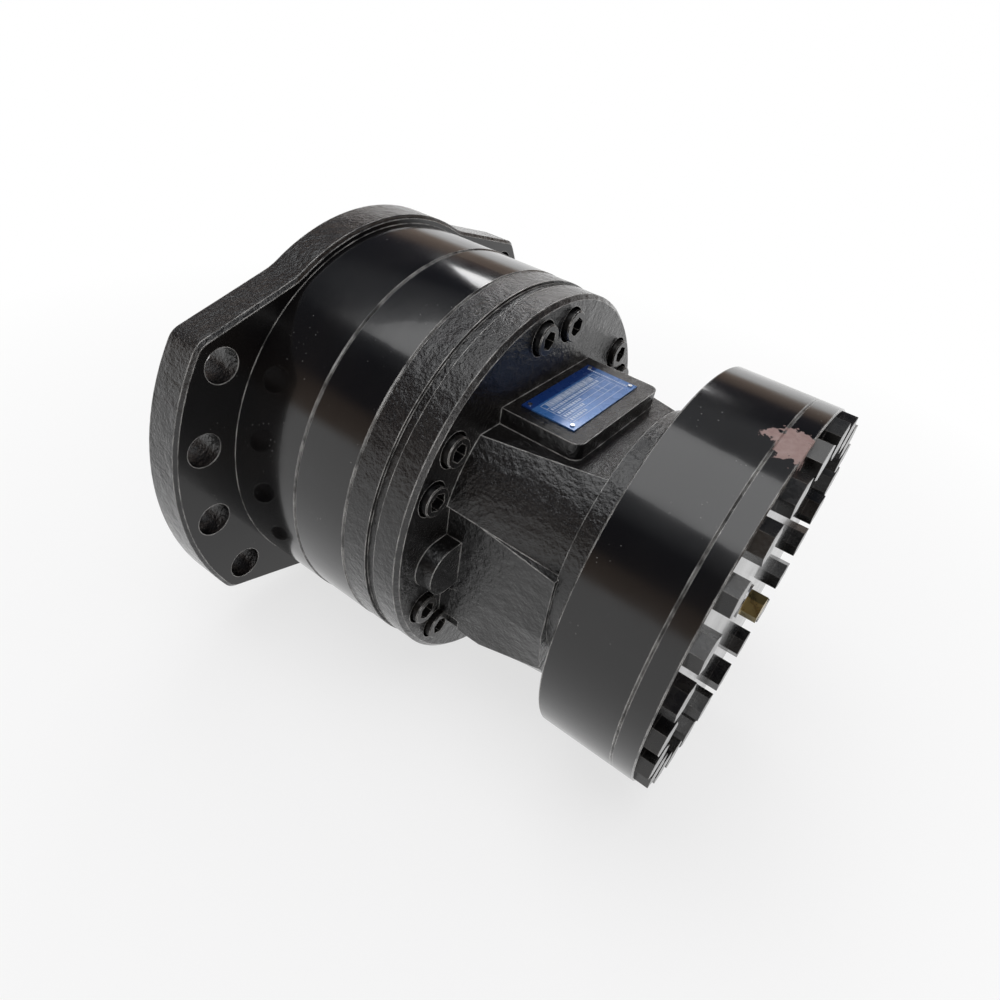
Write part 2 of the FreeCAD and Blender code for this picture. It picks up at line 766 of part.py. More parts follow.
def make_brake_housing():
    body = new_body("brake_housing")
    floor_end = DRUM_START + " + drum_floor"
    turn(body, "drum", [
        (DRUM_START, "distributor_bore_radius"), (floor_end, "distributor_bore_radius"),
        (floor_end, "brake_bore_radius"), (DRUM_END, "brake_bore_radius"),
        (DRUM_END, "drum_radius - edge_chamfer"), (DRUM_END + " - edge_chamfer", "drum_radius"),
        (DRUM_START + " + edge_chamfer", "drum_radius"), (DRUM_START, "drum_radius - edge_chamfer")])
    across, up = polar("bolt_circle_radius", "bolt_phase")
    threads = extrude(body, "bolt_thread", lambda s: circle(s, across, up, "bolt_radius"),
                      DRUM_END, "bolt_length - cover_thickness", cut=True, backward=True)
    around(body, "bolt_threads", [threads], "bolt_count")
    seat = extrude(body, "screw_seat", lambda s: circle(s, "brake_screw_circle_radius", "0",
                                                        "brake_screw_head_radius + screw_clearance"),
                   floor_end, "brake_screw_head_height + disc_gap", cut=True, backward=True)
    hole = extrude(body, "screw_hole", lambda s: circle(s, "brake_screw_circle_radius", "0",
                                                        "brake_screw_radius + screw_clearance"),
                   floor_end, "drum_floor", cut=True, backward=True)
    around(body, "screw_holes", [seat, hole], "brake_screw_count")
    return body


def make_brake_housing_screws():
    body = new_body("brake_housing_screws")
    seat = "(%s + drum_floor - disc_gap - brake_screw_head_height)" % DRUM_START
    features = screw(body, "brake_screw", seat, "brake_screw_circle_radius", "brake_screw_radius",
                     "brake_screw_head_radius", "brake_screw_head_height", "brake_screw_length")
    around(body, "brake_screw_ring", features, "brake_screw_count")
    return body


def make_brake_cover():
    body = new_body("brake_cover")
    turn(body, "cover", [
        (DRUM_END + " + cover_recess_depth", "0"), (COVER_END, "0"),
        (COVER_END, "drum_radius - edge_chamfer"), (COVER_END + " - edge_chamfer", "drum_radius"),
        (DRUM_END + " + edge_chamfer", "drum_radius"), (DRUM_END, "drum_radius - edge_chamfer"),
        (DRUM_END, "cover_recess_radius"), (DRUM_END + " + cover_recess_depth", "cover_recess_radius")])
    across, up = polar("bolt_circle_radius", "bolt_phase")
    hole = extrude(body, "bolt_hole", lambda s: circle(s, across, up, "bolt_radius + screw_clearance"),
                   COVER_END, "cover_thickness", cut=True, backward=True)
    around(body, "bolt_holes", [hole], "bolt_count")
    extrude(body, "plug_thread", lambda s: circle(s, "0", "0", "plug_thread_radius"),
            COVER_END, "cover_thickness", cut=True, backward=True)
    return body


def make_release_plug():
    ring("plug_washer", COVER_END, "plug_washer_thickness", "plug_thread_radius", "plug_washer_radius")
    body = new_body("release_plug")
    seat = COVER_END + " + plug_washer_thickness"
    turn(body, "plug_thread", [(seat + " - plug_thread_length", "0"), (seat + " + plug_head_height / 2", "0"),
                               (seat + " + plug_head_height / 2", "plug_thread_radius"),
                               (seat + " - plug_thread_length", "plug_thread_radius")])
    extrude(body, "plug_head", lambda s: hexagon(s, "0", "0", "plug_across_flats"), seat, "plug_head_height")


# ---------------------------------------------------------------- brake pack

DISC_PITCH = "(2 * (disc_thickness + disc_gap))"


def make_discs(label, first, count, inner, outer):
    """A stack of equal discs, one brake pitch apart."""
    body = new_body(label)
    disc = turn(body, label + "_disc", ring_corners(first, "disc_thickness", inner, outer))
    pattern = body.newObject("PartDesign::LinearPattern", label + "_stack")
    pattern.Originals = [disc]
    pattern.Direction = (origin_feature(body, "X_Axis"), [""])
    pattern.setExpression("Length", bound("%s * (%s - 1)" % (DISC_PITCH, count)))
    pattern.setExpression("Occurrences", bound(count))
    body.Tip = pattern
    doc.recompute()


PISTON_FACE = "(%s + %s * friction_disc_count + disc_thickness + disc_gap)" % (PACK_START, DISC_PITCH)


def make_brake_pack():
    make_discs("separator_plates", PACK_START, "(friction_disc_count + 1)",
               "separator_bore_radius", "brake_bore_radius")
    make_discs("friction_discs", PACK_START + " + disc_thickness + disc_gap", "friction_disc_count",
               "brake_spline_radius", "friction_disc_radius")
    rim_end = PISTON_FACE + " + brake_piston_rim"
    boss_end = rim_end + " + brake_piston_boss"
    turned("brake_piston", [
        (PISTON_FACE, "brake_piston_bore_radius"), (boss_end, "brake_piston_bore_radius"),
        (boss_end, "brake_piston_boss_radius"), (rim_end, "brake_piston_boss_radius"),
        (rim_end, "brake_bore_radius - running_clearance"),
        (PISTON_FACE, "brake_bore_radius - running_clearance")])
    wall = DRUM_END + " + cover_recess_depth"
    turned("brake_spring", [
        (boss_end + " + disc_gap", "brake_spring_inner_radius"),
        (boss_end + " + disc_gap + brake_spring_thickness", "brake_spring_inner_radius"),
        (wall, "brake_spring_outer_radius"),
        (wall + " - brake_spring_thickness", "brake_spring_outer_radius")])


# ---------------------------------------------------------------- shaft and bearings

def make_output_shaft():
    body = new_body("output_shaft")
    back = "-hub_face"
    pilot = back + " - hub_pilot_height"
    front = "-hub_face + hub_thickness"
    nut_end = REAR_BEARING_END + " + nut_thickness"
    block_end = "(%s + block_thickness / 2 - block_end_step)" % CAM_MIDDLE
    step = "(%s + bearing_spacing / 2)" % FRONT_END
    bottom = "(%s + nut_thickness + shaft_bore_gap)" % REAR_BEARING_END
    turn(body, "shaft", [
        (pilot, "0"), (pilot, "hub_pilot_radius - edge_chamfer"),
        (pilot + " + edge_chamfer", "hub_pilot_radius"), (back, "hub_pilot_radius"),
        (back, "hub_radius - edge_chamfer"), (back + " + edge_chamfer", "hub_radius"),
        (front, "hub_radius"), (front, "seal_land_radius"), (FRONT_START, "seal_land_radius"),
        (FRONT_START, "front_bearing_bore_radius"), (step, "front_bearing_bore_radius"),
        (step, "rear_bearing_bore_radius"), (nut_end, "rear_bearing_bore_radius"),
        (nut_end, "block_spline_radius"), (block_end, "block_spline_radius"),
        (block_end, "brake_shaft_radius"), (bottom, "brake_shaft_radius"), (bottom, "0")])
    hole = extrude(body, "hub_thread", lambda s: circle(s, "hub_bolt_circle_radius", "0", "hub_bolt_radius"),
                   front, "hub_thickness", cut=True, backward=True)
    around(body, "hub_threads", [hole], "hub_bolt_count")
    ring("bearing_nut", REAR_BEARING_END, "nut_thickness", "rear_bearing_bore_radius", "nut_radius")
    shaft_end = "(%s + disc_gap)" % bottom
    hub_start = "(%s - disc_gap)" % PACK_START
    hub_end = "(%s - disc_gap)" % PISTON_FACE
    turned("brake_shaft", [
        (shaft_end, "0"), (hub_end + " + brake_shaft_stub", "0"),
        (hub_end + " + brake_shaft_stub", "brake_shaft_radius"),
        (hub_end, "brake_shaft_radius"), (hub_end, "brake_spline_radius"),
        (hub_start, "brake_spline_radius"), (hub_start, "brake_shaft_radius"),
        (shaft_end, "brake_shaft_radius")])
    ring("brake_shaft_circlip", hub_end, "circlip_thickness", "brake_shaft_radius",
         "brake_shaft_radius + circlip_height")
    ring("shaft_seal", "(%s - seal_gap - seal_width)" % FRONT_START, "seal_width",
         "seal_land_radius + running_clearance", "seal_radius")


def make_bearing(side, start, width, bore, outer, count, spread):
    """A tapered roller bearing: its cup, its cone, its rollers and their cage.

    spread is 1 where the rollers' large ends face the hub, and -1 where they face the brake.
    """
    middle = "(%s + %s / 2)" % (start, width)
    end = "(%s + %s)" % (start, width)
    pitch = "((%s + %s) / 2)" % (bore, outer)
    roller = "((%s - %s) / 4)" % (outer, bore)
    rise = "(%s / 2 * tan(bearing_taper_angle) * %d)" % (width, -spread)
    half_length = "(%s / 2 - roller_end_margin)" % width
    cup_gap = "(%s / cos(bearing_taper_angle) + running_clearance)" % roller
    turned(side + "_bearing_cup", [
        (start, "%s + %s - %s" % (pitch, cup_gap, rise)), (end, "%s + %s + %s" % (pitch, cup_gap, rise)),
        (end, outer), (start, outer)])
    turned(side + "_bearing_cone", [
        (start, bore), (end, bore), (end, "%s - %s + %s" % (pitch, cup_gap, rise)),
        (start, "%s - %s - %s" % (pitch, cup_gap, rise))])
    body = new_body(side + "_bearing_rollers")
    sketch = new_sketch(body, side + "_roller_outline", "XY_Plane", x=middle, y=pitch)
    sketch.AttachmentOffset = FreeCAD.Placement(
        sketch.AttachmentOffset.Base, FreeCAD.Rotation(FreeCAD.Vector(0, 0, 1), 1))
    tilt = bound("%d * bearing_taper_angle" % -spread)
    sketch.setExpression("AttachmentOffset.Rotation.Angle", tilt + " * 1 deg")
    outline(sketch, [("-" + half_length, "0"), (half_length, "0"), (half_length, roller),
                     ("-" + half_length, roller)])
    rollers = body.newObject("PartDesign::Revolution", side + "_roller")
    rollers.Profile = sketch
    rollers.ReferenceAxis = (sketch, ["H_Axis"])
    rollers.Angle = 360
    doc.recompute()
    around(body, side + "_roller_ring", [rollers], count)
    small = "(%s + %d * (%s + cage_gap))" % (middle, spread, half_length)
    cage_radius = "(%s - %s * tan(bearing_taper_angle))" % (pitch, half_length)
    turned(side + "_bearing_cage", ring_corners(small, "(%d * cage_thickness)" % spread,
                                                cage_radius + " - cage_height / 2",
                                                cage_radius + " + cage_height / 2"))


def make_cylinder_block():
    body = new_body("cylinder_block")
    half = "block_thickness / 2"
    start = "(%s - %s)" % (CAM_MIDDLE, half)
    nut_end = "(%s + nut_thickness + disc_gap)" % REAR_BEARING_END
    end = "(%s + %s)" % (CAM_MIDDLE, half)
    turn(body, "block", [
        (start, "block_nut_recess_radius"), (nut_end, "block_nut_recess_radius"),
        (nut_end, "block_spline_radius"), (end, "block_spline_radius"), (end, "block_radius"),
        (start, "block_radius")])
    bore = extrude(body, "cylinder", lambda s: circle(s, CAM_MIDDLE, "0", "piston_radius"),
                   "cylinder_floor", "block_radius", role="XY_Plane", cut=True)
    around(body, "cylinders", [bore], "cylinder_count")


ROLLER_CENTRE = "(cam_mean_radius - cam_lift - roller_radius - roller_rest_gap)"


def make_pistons():
    """Each piston and its roller, turned about their own axes and set round the shaft."""
    top = ROLLER_CENTRE + " + piston_skirt"
    slip = "piston_radius - running_clearance"
    for i in range(int(number("cylinder_count"))):
        place = "%d * 360 / cylinder_count" % i
        body = new_body("piston_%d" % (i + 1))
        sketch = new_sketch(body, "piston_outline_%d" % (i + 1), "XZ_Plane", x=CAM_MIDDLE)
        foot = top + " - piston_length"
        outline(sketch, [("0", foot), (slip, foot), (slip, top), ("0", top)])
        blank = body.newObject("PartDesign::Revolution", "piston_blank_%d" % (i + 1))
        blank.Profile = sketch
        blank.ReferenceAxis = (sketch, ["V_Axis"])
        blank.Angle = 360
        doc.recompute()
        cradle_half = "(roller_length / 2 + roller_end_gap)"
        extrude(body, "cradle_%d" % (i + 1),
                lambda s: circle(s, "0", ROLLER_CENTRE, "roller_radius + running_clearance"),
                "%s - %s" % (CAM_MIDDLE, cradle_half), "2 * " + cradle_half, cut=True)
        turn_about_shaft(body, place)
        roller = new_body("roller_%d" % (i + 1))
        extrude(roller, "roller_pad_%d" % (i + 1), lambda s: circle(s, "0", ROLLER_CENTRE, "roller_radius"),
                CAM_MIDDLE + " - roller_length / 2", "roller_length")
        turn_about_shaft(roller, place)


# ---------------------------------------------------------------- distributor and selector

def make_distributor():
    body = new_body("distributor")
    face = "(%s + block_thickness / 2 + distributor_face_gap)" % CAM_MIDDLE
    steps = distributor_steps("distributor_bore_radius - distributor_bore_step", face)
    end = "(%s + 3 * distributor_step_length - distributor_spring_space)" % REAR_START
    steps[1] = (end, steps[1][1])
    steps[2] = (end, steps[2][1])
    turn(body, "distributor_turn", steps)
    for i in (1, 2):
        place = "%s + %d * distributor_step_length - 2 * seal_section" % (REAR_START, i)
        turn(body, "ring_groove_%d" % i, ring_corners(
            place, "seal_section", "distributor_radius - %d * distributor_step - seal_section" % (i - 1),
            "distributor_radius + overrun"), cut=True)
    seals = new_body("distributor_seals")
    for i in (1, 2):
        place = "%s + %d * distributor_step_length - 2 * seal_section" % (REAR_START, i)
        outer = "distributor_radius - %d * distributor_step" % (i - 1)
        turn(seals, "seal_%d" % i, ring_corners(place, "seal_section", outer + " - seal_section", outer))
    spring_middle = "distributor_radius - 3 * distributor_step"
    ring("distributor_spring", end, "distributor_spring_space",
         spring_middle + " - distributor_spring_width / 2",
         spring_middle + " + distributor_spring_width / 2")


def make_selector():
    """The two speed spool across the lower block, its spring and its plug."""
    body = new_body("speed_spool")
    inner = "(%s - spool_bore_length)" % SPOOL_END
    end = "(%s + spool_length)" % inner
    groove = "((spool_length - 3 * spool_land_length) / 2)"
    corners = [(inner, "0")]
    place = inner
    for i in range(3):
        after = "%s + spool_land_length" % place
        corners += [(place, "spool_radius"), (after, "spool_radius")]
        place = after
        if i < 2:
            after = "%s + %s" % (place, groove)
            corners += [(place, "spool_stem_radius"), (after, "spool_stem_radius")]
            place = after
    corners.append((end, "0"))
    turn_across(body, "spool", corners)
    plug = new_body("spool_plug")
    mouth = "block_width / 2 - spool_plug_sink"
    turn_across(plug, "plug", [
        (SPOOL_END, "0"), (SPOOL_END, "spool_plug_radius"), (mouth, "spool_plug_radius"),
        (mouth, "spool_plug_radius + spool_plug_collar"),
        (mouth + " + spool_plug_head", "spool_plug_radius + spool_plug_collar"),
        (mouth + " + spool_plug_head", "0")])


def turn_across(body, name, corners):
    """Turn an outline of (along Y, radius) corners about the spool's axis."""
    sketch = new_sketch(body, name + "_outline", "XY_Plane", x=SPOOL_PLACE, z="-spool_depth")
    outline(sketch, [(radius, along) for along, radius in corners])
    feature = body.newObject("PartDesign::Revolution", name)
    feature.Profile = sketch
    feature.ReferenceAxis = (sketch, ["V_Axis"])
    feature.Angle = 360
    doc.recompute()


def make_spool_spring():
    """A coil spring between the spool's end and the plug."""
    inner = number("%s - spool_bore_length + spool_length + disc_gap" % SPOOL_END)
    wire = number("spool_spring_wire")
    length = number(SPOOL_END) - inner - 2 * wire - number("disc_gap")
    radius = number("spool_spring_radius")
    helix = Part.makeHelix(length / number("spool_spring_turns"), length, radius)
    section = Part.Wire(Part.makeCircle(wire, FreeCAD.Vector(radius, 0, 0), FreeCAD.Vector(0, 1, 0)))
    part = doc.addObject("Part::Feature", "spool_spring")
    part.Label = "spool_spring"
    part.Shape = Part.Wire(helix).makePipeShell([section], True, True)
    spot = FreeCAD.Vector(number(SPOOL_PLACE), inner + wire, -number("spool_depth"))
    part.Placement = FreeCAD.Placement(spot, FreeCAD.Rotation(X, -90))
    subparts.append(part)


# ---------------------------------------------------------------- rating plate

def make_rating_plate():
    body = new_body("rating_plate")
    middle = "(%s + plate_pad_width / 2 - plate_offset)" % RING_END

    def plate(sketch):
        corners = []
        for across, up in ((-1, -1), (1, -1), (1, 1), (-1, 1)):
            corners.append(("%s + %d * plate_width / 2" % (middle, across), "%d * plate_length / 2" % up))
        outline(sketch, corners)

    extrude(body, "plate", plate, "plate_pad_height", "plate_thickness", role="XY_Plane")
    rivets = new_body("rating_plate_rivets")

    def heads(sketch):
        for across in (-1, 1):
            for up in (-1, 1):
                circle(sketch, "%s + %d * (plate_width / 2 - rivet_inset)" % (middle, across),
                       "%d * (plate_length / 2 - rivet_inset)" % up, "rivet_radius")

    extrude(rivets, "heads", heads, "plate_pad_height + plate_thickness", "rivet_height", role="XY_Plane")


make_front_housing()
make_cam_ring()
make_rear_housing()
make_seal_rings()
make_housing_screws()
make_brake_housing()
make_brake_housing_screws()
make_brake_cover()
make_cover_bolts()
make_release_plug()
make_brake_pack()
make_output_shaft()
make_bearing("front", FRONT_START, "front_bearing_width", "front_bearing_bore_radius",
             "front_bearing_radius", "front_roller_count", 1)
make_bearing("rear", REAR_BEARING, "rear_bearing_width", "rear_bearing_bore_radius",
             "rear_bearing_radius", "rear_roller_count", -1)
make_cylinder_block()
make_pistons()
make_distributor()
make_selector()
make_spool_spring()
make_rating_plate()


# ---------------------------------------------------------------- write

doc.recompute()
for item in doc.Objects:
    if "Invalid" in item.State or "Error" in item.State:
        raise ValueError("%s failed: %s" % (item.Name, item.State))
for part in subparts:
    if part.Shape.isNull() or not part.Shape.isValid():
        raise ValueError(part.Label + " has no valid shape")

os.makedirs("parts", exist_ok=True)
for part in subparts:
    part.Shape.exportStep("parts/%s.step" % part.Label)
    print(part.Label, len(part.Shape.Solids), round(part.Shape.Volume / 1000, 1))
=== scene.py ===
import json
import random

import bpy
from mathutils import Matrix, Vector


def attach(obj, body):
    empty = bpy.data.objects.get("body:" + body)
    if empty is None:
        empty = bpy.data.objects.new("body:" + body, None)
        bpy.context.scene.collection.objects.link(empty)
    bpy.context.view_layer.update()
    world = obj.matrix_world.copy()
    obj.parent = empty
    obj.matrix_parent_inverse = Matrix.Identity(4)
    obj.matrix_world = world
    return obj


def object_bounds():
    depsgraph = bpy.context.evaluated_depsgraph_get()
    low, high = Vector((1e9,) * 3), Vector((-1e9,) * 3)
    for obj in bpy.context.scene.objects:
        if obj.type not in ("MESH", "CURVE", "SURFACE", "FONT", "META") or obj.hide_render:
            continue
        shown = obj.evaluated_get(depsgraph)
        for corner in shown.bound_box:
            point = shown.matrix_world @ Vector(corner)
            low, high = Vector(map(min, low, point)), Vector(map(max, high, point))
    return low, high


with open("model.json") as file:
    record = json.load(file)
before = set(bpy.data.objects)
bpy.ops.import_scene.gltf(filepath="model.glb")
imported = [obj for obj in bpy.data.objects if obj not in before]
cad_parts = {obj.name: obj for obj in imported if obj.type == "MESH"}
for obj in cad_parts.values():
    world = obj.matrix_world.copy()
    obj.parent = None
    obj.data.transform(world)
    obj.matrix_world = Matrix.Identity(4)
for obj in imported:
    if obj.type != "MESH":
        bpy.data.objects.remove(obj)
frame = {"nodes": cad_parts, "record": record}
cad_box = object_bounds()
random.seed(11)

nodes = frame["nodes"]

# The patch with its paint off, in metres in the part's frame.
CHIP_PLACE = (0.2695, -0.0235, 0.1128)
CHIP_REACH = 0.0105
CHIP_FRINGE = 0.013

# Sand-cast skin: noise scales, bump depths, and the radius that the flange's rim lies outside.
GRAIN_SCALE = 520.0
LUMP_SCALE = 120.0
GRAIN_DEPTH = 0.00055
LUMP_DEPTH = 0.0011
PAINT_DEPTH = 0.00006
RIM_RADIUS = 0.1285

# The rating plate: its top, its far end, where its dark band ends, and the print's thickness.
PLATE_TOP = 0.0748
PLATE_END = 0.168
HEADER_END = 0.1405
PRINT_THICKNESS = 0.00006

# The photograph's camera: focal length in millimetres, place, and the directions of its axes.
CAMERA_LENS = 26.08
CAMERA_PLACE = (0.3076, -0.3291, 0.2738)
CAMERA_RIGHT = (0.7923, 0.5961, 0.1305)
CAMERA_BACK = (0.4071, -0.6757, 0.6146)

# Each lamp's name, place, aim, size and power.
LAMPS = (
    ("overhead", (0.0, -0.3, 1.7), (0.1, 0, 0), (2.2, 1.3), 20),
    ("rim", (-0.5, 1.1, 1.0), (0.1, 0, 0), (0.7, 0.25), 4),
    ("side", (1.5, -0.7, 0.6), (0.2, 0, 0), (0.5, 1.0), 5),
)

# The floor's half width, its gap under the part, and the distances where it starts and ends fading.
FLOOR_HALF = 40.0
FLOOR_GAP = 0.0005
FLOOR_CENTRE = (0.11, 0.0)
FADE_START = 0.2
FADE_END = 0.7

# ------------------------------------------------------------ materials


class Graph:
    """A short way to write a material's node tree."""

    def __init__(self, name):
        self.material = bpy.data.materials.new(name)
        self.material.use_nodes = True
        self.tree = self.material.node_tree
        self.tree.nodes.clear()
        self.output = self.add("ShaderNodeOutputMaterial")
        self.shader = self.add("ShaderNodeBsdfPrincipled")
        self.link(self.shader.outputs[0], self.output.inputs["Surface"])
        self.place = self.add("ShaderNodeTexCoord").outputs["Object"]

    def add(self, kind, **settings):
        node = self.tree.nodes.new(kind)
        for key, value in settings.items():
            setattr(node, key, value)
        return node

    def link(self, source, target):
        self.tree.links.new(source, target)

    def set(self, **values):
        for key, value in values.items():
            self.shader.inputs[key.replace("_", " ")].default_value = value

    def noise(self, scale, detail=3.0, roughness=0.5):
        node = self.add("ShaderNodeTexNoise")
        node.inputs["Scale"].default_value = scale
        node.inputs["Detail"].default_value = detail
        node.inputs["Roughness"].default_value = roughness
        self.link(self.place, node.inputs["Vector"])
        return node.outputs["Fac"]

    def ramp(self, source, low, high, low_value, high_value):
        node = self.add("ShaderNodeMapRange")
        node.inputs["From Min"].default_value = low
        node.inputs["From Max"].default_value = high
        node.inputs["To Min"].default_value = low_value
        node.inputs["To Max"].default_value = high_value
        self.link(source, node.inputs["Value"])
        return node.outputs[0]

    def maths(self, operation, first, second):
        node = self.add("ShaderNodeMath", operation=operation)
        for socket, value in zip(node.inputs, (first, second)):
            if isinstance(value, (int, float)):
                socket.default_value = value
            else:
                self.link(value, socket)
        return node.outputs[0]

    def blend(self, factor, first, second):
        node = self.add("ShaderNodeMix", data_type="RGBA")
        self.link(factor, node.inputs[0])
        for socket, value in ((node.inputs[6], first), (node.inputs[7], second)):
            if isinstance(value, tuple):
                socket.default_value = value + (1.0,)
            else:
                self.link(value, socket)
        return node.outputs[2]

    def bump(self, height, distance, under=None):
        node = self.add("ShaderNodeBump")
        node.inputs["Strength"].default_value = 1.0
        node.inputs["Distance"].default_value = distance
        self.link(height, node.inputs["Height"])
        if under:
            self.link(under, node.inputs["Normal"])
        return node.outputs[0]

    def edges(self, radius, start, end):
        """1 on sharp edges, 0 elsewhere: where a rounded normal leaves the surface's own."""
        bevel = self.add("ShaderNodeBevel", samples=4)
        bevel.inputs["Radius"].default_value = radius
        shading = self.add("ShaderNodeNewGeometry").outputs["Normal"]
        dot = self.add("ShaderNodeVectorMath", operation="DOT_PRODUCT")
        self.link(bevel.outputs[0], dot.inputs[0])
        self.link(shading, dot.inputs[1])
        return self.ramp(dot.outputs["Value"], start, end, 0.0, 1.0)


def black_paint(name, cast="none", specks=0.0, chip=False):
    """Gloss black enamel over iron.

    cast says where the sand-cast skin shows: "none", "rim" for the flange's rim, or "all".
    """
    g = Graph(name)
    g.set(Roughness=0.14, Coat_Weight=0.25, Coat_Roughness=0.04)
    tone = g.ramp(g.noise(14.0, 4.0), 0.35, 0.65, 0.0, 1.0)
    colour = g.blend(tone, (0.0026, 0.0026, 0.0032), (0.0052, 0.0045, 0.0042))
    if specks:
        dots = g.add("ShaderNodeTexVoronoi", feature="F1")
        dots.inputs["Scale"].default_value = 300.0
        g.link(g.place, dots.inputs["Vector"])
        near = g.ramp(dots.outputs["Distance"], 0.06, 0.13, 1.0, 0.0)
        where = g.ramp(g.noise(48.0, 3.0), 0.56, 0.66, 0.0, specks)
        colour = g.blend(g.maths("MULTIPLY", near, where), colour, (0.30, 0.30, 0.29))
    # Light grey on sharp edges, in patches: partly rubbed paint, partly a painted highlight along
    # the edges.
    patches = g.ramp(g.noise(110.0, 4.0), 0.36, 0.60, 0.2, 1.0)
    rub_and_highlight = g.maths("MULTIPLY", g.edges(0.0009, 0.998, 0.95), patches)
    colour = g.blend(rub_and_highlight, colour, (0.55, 0.54, 0.52))
    rough = g.ramp(g.noise(26.0, 3.0), 0.3, 0.7, 0.10, 0.2)
    if chip:
        away = g.add("ShaderNodeVectorMath", operation="DISTANCE")
        away.inputs[1].default_value = CHIP_PLACE
        g.link(g.place, away.inputs[0])
        fringe = g.ramp(g.noise(150.0, 5.0, 0.65), 0.2, 0.8, -CHIP_FRINGE, CHIP_FRINGE)
        ragged = g.maths("ADD", away.outputs["Value"], fringe)
        bare = g.ramp(ragged, CHIP_REACH, CHIP_REACH + 0.001, 1.0, 0.0)
        primer = g.blend(g.noise(300.0, 3.0), (0.20, 0.11, 0.10), (0.36, 0.27, 0.25))
        colour = g.blend(bare, colour, primer)
        rough = g.maths("MAXIMUM", rough, g.maths("MULTIPLY", bare, 0.6))
    g.link(colour, g.shader.inputs["Base Color"])
    g.link(rough, g.shader.inputs["Roughness"])
    normal = g.bump(g.noise(60.0, 2.0), PAINT_DEPTH)
    if cast != "none":
        grain = g.noise(GRAIN_SCALE, 4.0, 0.62)
        lumps = g.noise(LUMP_SCALE, 3.0, 0.55)
        if cast == "rim":
            across = g.add("ShaderNodeVectorMath", operation="MULTIPLY")
            across.inputs[1].default_value = (0, 1, 1)
            g.link(g.place, across.inputs[0])
            reach = g.add("ShaderNodeVectorMath", operation="LENGTH")
            g.link(across.outputs[0], reach.inputs[0])
            facing = g.add("ShaderNodeSeparateXYZ")
            g.link(g.add("ShaderNodeNewGeometry").outputs["Normal"], facing.inputs[0])
            side_on = g.ramp(g.maths("ABSOLUTE", facing.outputs[0], 0.0), 0.6, 0.9, 1.0, 0.0)
            outside = g.ramp(reach.outputs["Value"], RIM_RADIUS - 0.001, RIM_RADIUS, 0.0, 1.0)
            share = g.maths("MULTIPLY", outside, side_on)
            grain = g.maths("MULTIPLY", grain, share)
            lumps = g.maths("MULTIPLY", lumps, share)
        normal = g.bump(grain, GRAIN_DEPTH, under=normal)
        normal = g.bump(lumps, LUMP_DEPTH, under=normal)
    g.link(normal, g.shader.inputs["Normal"])
    g.link(normal, g.shader.inputs["Coat Normal"])
    return g.material


def metal(name, colour, roughness, dirt=(0.02, 0.02, 0.02)):
    """Bare metal with darker worn patches."""
    g = Graph(name)
    g.set(Metallic=1.0)
    worn = g.ramp(g.noise(70.0, 4.0), 0.42, 0.7, 0.0, 0.55)
    g.link(g.blend(worn, colour, dirt), g.shader.inputs["Base Color"])
    rough = g.ramp(g.noise(160.0, 3.0), 0.3, 0.7, roughness * 0.75, roughness * 1.3)
    g.link(rough, g.shader.inputs["Roughness"])
    g.link(g.bump(g.noise(900.0, 2.0), 0.00004), g.shader.inputs["Normal"])
    return g.material


def black_oxide(name, rub_and_highlight_colour=(0.55, 0.53, 0.50), rub_and_highlight_share=1.0):
    """Blackened steel whose edges are rubbed bright, with a painted highlight along them."""
    g = Graph(name)
    g.set(Metallic=0.2, Coat_Weight=0.3, Coat_Roughness=0.1)
    # Light colour on sharp edges, in patches: partly rubbed steel, partly a painted highlight along
    # the edges.
    edges = g.edges(0.0007, 0.99, 0.88)
    rub_and_highlight = g.maths("MULTIPLY", edges, g.ramp(g.noise(300.0, 3.0), 0.35, 0.6, 0.2, rub_and_highlight_share))
    tone = g.ramp(g.noise(50.0), 0.4, 0.6, 0.0, 1.0)
    tone = g.blend(tone, (0.004, 0.004, 0.0045), (0.012, 0.011, 0.010))
    g.link(g.blend(rub_and_highlight, tone, rub_and_highlight_colour), g.shader.inputs["Base Color"])
    g.link(g.ramp(g.noise(200.0), 0.3, 0.7, 0.2, 0.36), g.shader.inputs["Roughness"])
    g.link(g.bump(g.noise(500.0, 3.0), 0.0001), g.shader.inputs["Normal"])
    return g.material


def rubber(name):
    g = Graph(name)
    tone = g.blend(g.noise(60.0), (0.012, 0.012, 0.012), (0.02, 0.02, 0.02))
    g.link(tone, g.shader.inputs["Base Color"])
    g.set(Roughness=0.6)
    g.link(g.bump(g.noise(600.0), 0.00005), g.shader.inputs["Normal"])
    return g.material


def plate_blue(name):
    """Printed aluminium with a darker band along the edge nearest the flange."""
    g = Graph(name)
    g.set(Coat_Weight=0.4, Coat_Roughness=0.08, Metallic=0.15)
    split = g.add("ShaderNodeSeparateXYZ")
    g.link(g.place, split.inputs[0])
    light = g.ramp(g.noise(25.0, 3.0), 0.35, 0.65, 0.0, 1.0)
    light = g.blend(light, (0.032, 0.115, 0.33), (0.05, 0.16, 0.42))
    header = g.ramp(split.outputs[0], HEADER_END, HEADER_END + 0.0002, 1.0, 0.0)
    g.link(g.blend(header, light, (0.006, 0.035, 0.17)), g.shader.inputs["Base Color"])
    g.link(g.ramp(g.noise(140.0), 0.3, 0.7, 0.2, 0.35), g.shader.inputs["Roughness"])
    g.link(g.bump(g.noise(500.0), 0.00003), g.shader.inputs["Normal"])
    return g.material


def white_print(name):
    g = Graph(name)
    tone = g.blend(g.noise(400.0, 3.0), (0.42, 0.50, 0.66), (0.68, 0.73, 0.80))
    g.link(tone, g.shader.inputs["Base Color"])
    g.link(g.ramp(g.noise(200.0), 0.3, 0.7, 0.35, 0.5), g.shader.inputs["Roughness"])
    return g.material


